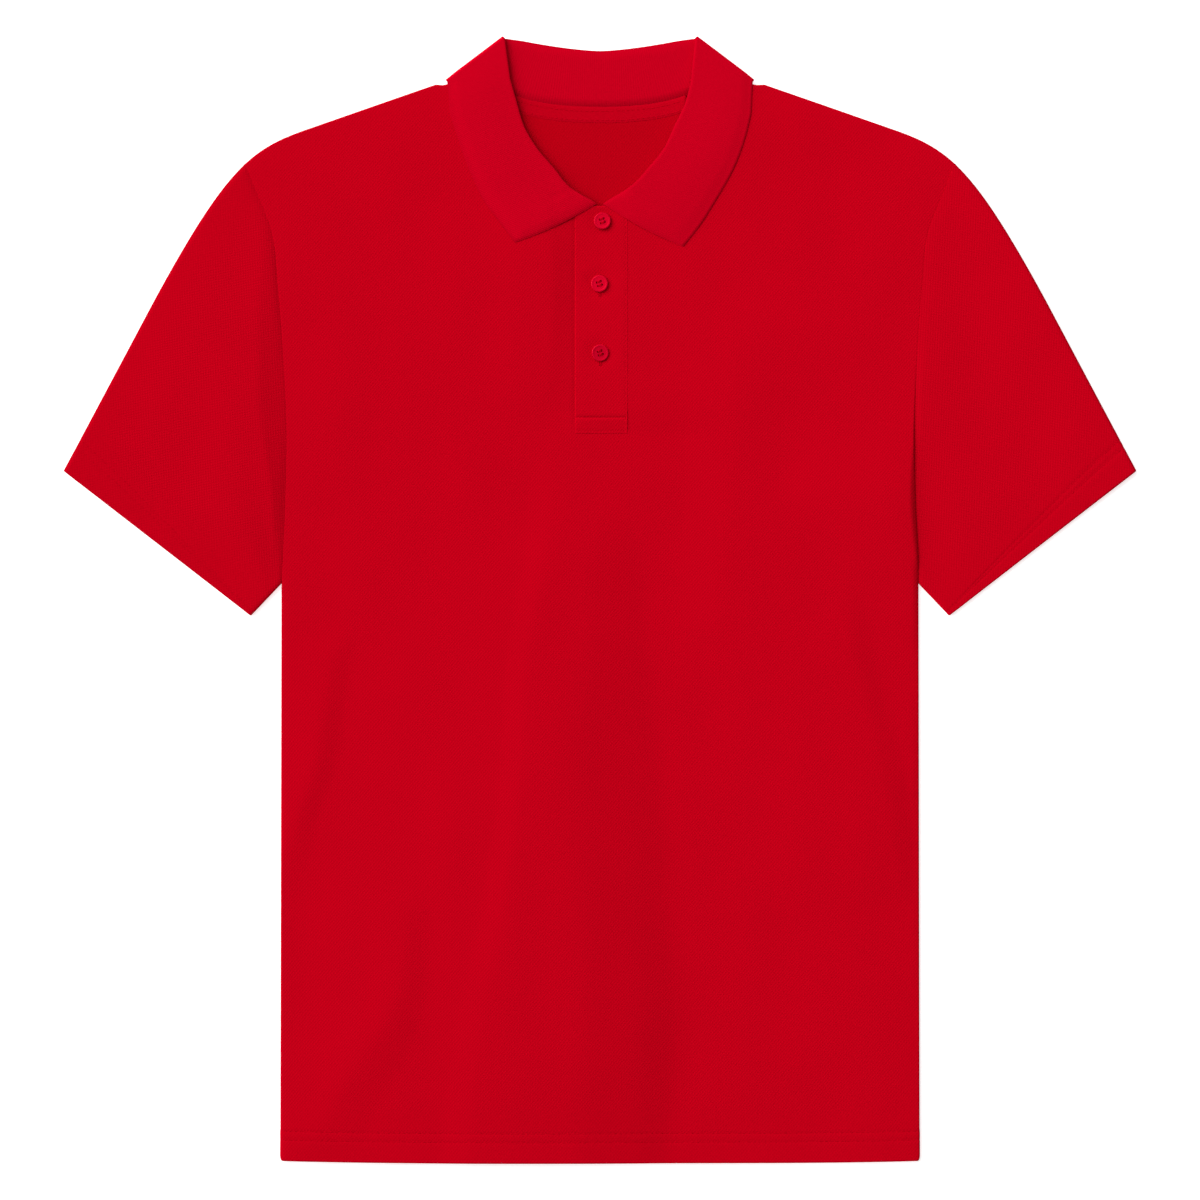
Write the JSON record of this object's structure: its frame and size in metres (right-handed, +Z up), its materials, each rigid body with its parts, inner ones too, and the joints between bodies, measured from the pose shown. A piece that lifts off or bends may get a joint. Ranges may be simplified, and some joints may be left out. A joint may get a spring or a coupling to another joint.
{
  "type": "polo shirt",
  "caption": "Short-sleeved polo shirt laid flat, with a turned-down rib-knit collar and a buttoned placket, for dressing a shelf, table or display.",
  "frame": {"origin": "on the surface that the shirt lies on, under the middle of its outline", "axes": "+X across the shirt to the viewer's right, +Y from hem to collar, +Z up from the surface"},
  "size_m": [0.7298, 0.7658, 0.0099],
  "materials": {
    "pique_knit": "red cotton pique knit, matt",
    "rib_knit": "red flat rib knit, matt",
    "neck_tape": "red twill tape, matt",
    "button": "moulded red plastic, polished"
  },
  "bodies": {
    "root": {"back": "pique_knit", "front": "pique_knit", "sleeve_left": "pique_knit", "sleeve_right": "pique_knit", "collar": "rib_knit", "placket_top": "pique_knit", "placket_under": "pique_knit", "neck_tape": "neck_tape", "button_1": "button", "button_2": "button", "button_3": "button"}
  },
  "joints": []
}
